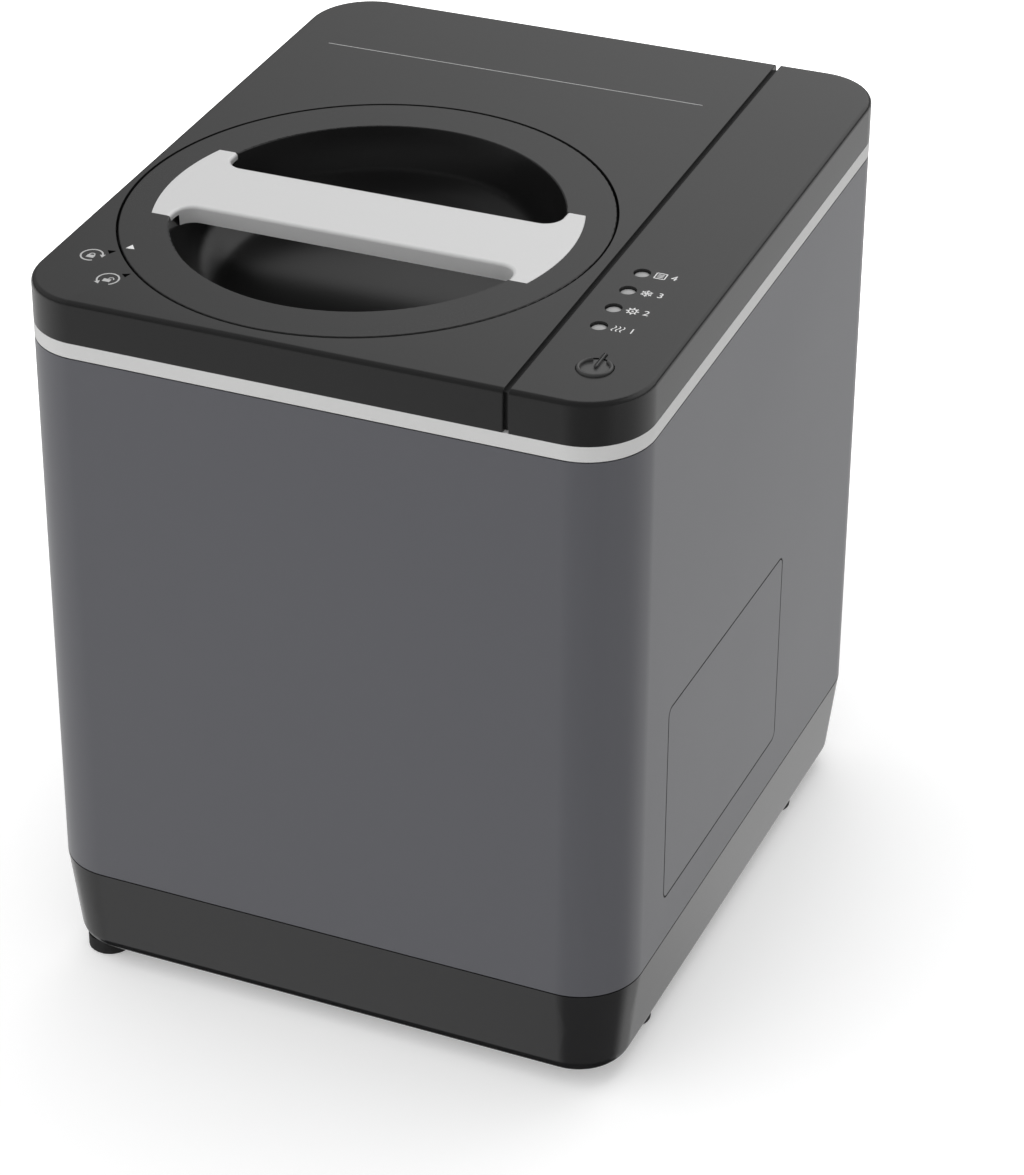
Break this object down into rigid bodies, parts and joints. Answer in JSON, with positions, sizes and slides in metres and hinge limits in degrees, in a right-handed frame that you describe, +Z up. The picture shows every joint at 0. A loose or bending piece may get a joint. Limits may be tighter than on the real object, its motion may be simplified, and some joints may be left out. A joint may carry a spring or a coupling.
{
  "type": "electric food waste composter",
  "caption": "Kitchen machine that heats, dries and grinds food scraps in a lift-out bucket under a twist-off round lid, with replaceable filters behind a side hatch.",
  "frame": {"origin": "on the table, under the middle of the machine", "axes": "+X right, +Y to the rear, +Z up; the front faces -Y"},
  "size_m": [0.2794, 0.32, 0.3605],
  "materials": {
    "skirt": "fine satin",
    "rubber": "matt",
    "steel": "bright",
    "zinc_plate": "zinc plated",
    "shell_grey": "fine satin",
    "silver_trim": "silver paint",
    "cover_dark": "satin",
    "lid_dark": "satin rim, gloss dish",
    "silver_handle": "silver paint",
    "lens_grey": "frosted",
    "circuit_board": "lacquer",
    "black_plastic": "satin",
    "button_dark": "satin",
    "bare_aluminium": "spun",
    "silicone": "matt",
    "cast_housing": "cast",
    "brass": "turned",
    "fan_grey": "satin",
    "coated_pot": "non-stick coating",
    "gear_steel": "cut and oiled",
    "filter_cartridge": "mesh round carbon"
  },
  "bodies": {
    "frame": {"base_tray": "skirt", "feet": "rubber", "foot_screws": "steel", "shell_screws": "steel", "chassis_plate": "zinc_plate", "chassis_screws": "steel", "outer_shell": "shell_grey", "trim_band": "silver_trim", "top_cover": "cover_dark", "control_strip": "cover_dark", "cover_screws": "steel", "indicator_lenses": "lens_grey", "panel_board": "circuit_board", "power_switch": "black_plastic", "lid_switch": "black_plastic", "well": "bare_aluminium", "well_gasket": "silicone", "well_screws": "steel", "heater_plate": "bare_aluminium", "thermostat": "steel", "spindle_seal": "silicone", "gearbox_base": "cast_housing", "gearbox_lid": "cast_housing", "spindle_bearings": "brass", "frame_posts": "steel", "motor": "steel", "filter_housing": "black_plastic", "intake_duct": "black_plastic", "exhaust_duct": "black_plastic", "exhaust_fan_case": "black_plastic", "cooling_fan_case": "black_plastic", "exhaust_grille": "black_plastic", "power_inlet": "black_plastic", "inlet_pins": "brass", "board_bracket": "zinc_plate", "main_board": "circuit_board"},
    "lid_plate": {"lid_inner_plate": "bare_aluminium", "lid_seal": "silicone"},
    "lid": {"lid_shell": "lid_dark", "lid_handle": "silver_handle", "handle_screws": "steel", "lid_magnet": "steel", "lid_pivot": "steel"},
    "button": {"power_button": "button_dark", "switch_plunger": "black_plastic"},
    "bucket": {"bucket": "coated_pot", "bucket_bush": "brass"},
    "bail": {"bucket_bail": "steel", "bail_grip": "black_plastic"},
    "grinder": {"grinder_arm": "cast_housing"},
    "spindle": {"spindle": "steel", "spindle_gear": "gear_steel"},
    "pinion": {"motor_pinion": "gear_steel"},
    "hatch": {"filter_hatch": "shell_grey", "hatch_gasket": "silicone"},
    "front_filter": {"filter_front": "filter_cartridge"},
    "rear_filter": {"filter_rear": "filter_cartridge"},
    "exhaust_rotor": {"exhaust_fan_rotor": "fan_grey"},
    "cooling_rotor": {"cooling_fan_rotor": "fan_grey"}
  },
  "joints": [
    {"name": "lid_lift", "type": "slide", "parent": "frame", "child": "lid_plate", "axis": [0, -0.0628, 0.998], "range_m": [0, 0.45]},
    {"name": "lid_twist", "type": "hinge", "parent": "lid_plate", "child": "lid", "pos_m": [-0.0275, -0.0446, 0.34783], "axis": [0, -0.0628, 0.998], "range_deg": [0, 11.4]},
    {"name": "power_press", "type": "slide", "parent": "frame", "child": "button", "axis": [0, 0.0628, -0.998], "range_m": [0, 0.0012], "stiffness_N_per_m": 400, "springref_m": -0.001},
    {"name": "bucket_lift", "type": "slide", "parent": "frame", "child": "bucket", "axis": [0, 0, 1], "range_m": [0, 0.26]},
    {"name": "bail_swing", "type": "hinge", "parent": "bucket", "child": "bail", "pos_m": [-0.0275, -0.04297, 0.286], "axis": [-1, 0, 0], "range_deg": [0, 90]},
    {"name": "grinder_spin", "type": "hinge", "parent": "bucket", "child": "grinder", "pos_m": [-0.0275, -0.04297, 0.17], "axis": [0, 0, 1], "continuous": true},
    {"name": "spindle_spin", "type": "hinge", "parent": "frame", "child": "spindle", "pos_m": [-0.0275, -0.04297, 0.13], "axis": [0, 0, 1], "continuous": true},
    {"name": "pinion_spin", "type": "hinge", "parent": "frame", "child": "pinion", "pos_m": [-0.0275, 0.02703, 0.13], "axis": [0, 0, 1], "continuous": true},
    {"name": "hatch_pull", "type": "slide", "parent": "frame", "child": "hatch", "axis": [1, 0, 0], "range_m": [0, 0.2]},
    {"name": "front_filter_pull", "type": "slide", "parent": "frame", "child": "front_filter", "axis": [1, 0, 0], "range_m": [0, 0.12]},
    {"name": "rear_filter_pull", "type": "slide", "parent": "frame", "child": "rear_filter", "axis": [1, 0, 0], "range_m": [0, 0.12]},
    {"name": "exhaust_spin", "type": "hinge", "parent": "frame", "child": "exhaust_rotor", "pos_m": [0.068, 0.1455, 0.125], "axis": [0, 1, 0], "continuous": true},
    {"name": "cooling_spin", "type": "hinge", "parent": "frame", "child": "cooling_rotor", "pos_m": [-0.078, 0.1475, 0.125], "axis": [0, 1, 0], "continuous": true}
  ],
  "couplings": [
    {"joint": "bucket_lift", "follows": "lid_lift", "ratio": 0.55},
    {"joint": "bail_swing", "follows": "lid_lift", "rad_per_m": 3.4131},
    {"joint": "grinder_spin", "follows": "spindle_spin", "ratio": 1},
    {"joint": "pinion_spin", "follows": "spindle_spin", "ratio": -4},
    {"joint": "front_filter_pull", "follows": "hatch_pull", "ratio": 0.59},
    {"joint": "rear_filter_pull", "follows": "hatch_pull", "ratio": 0.59}
  ]
}
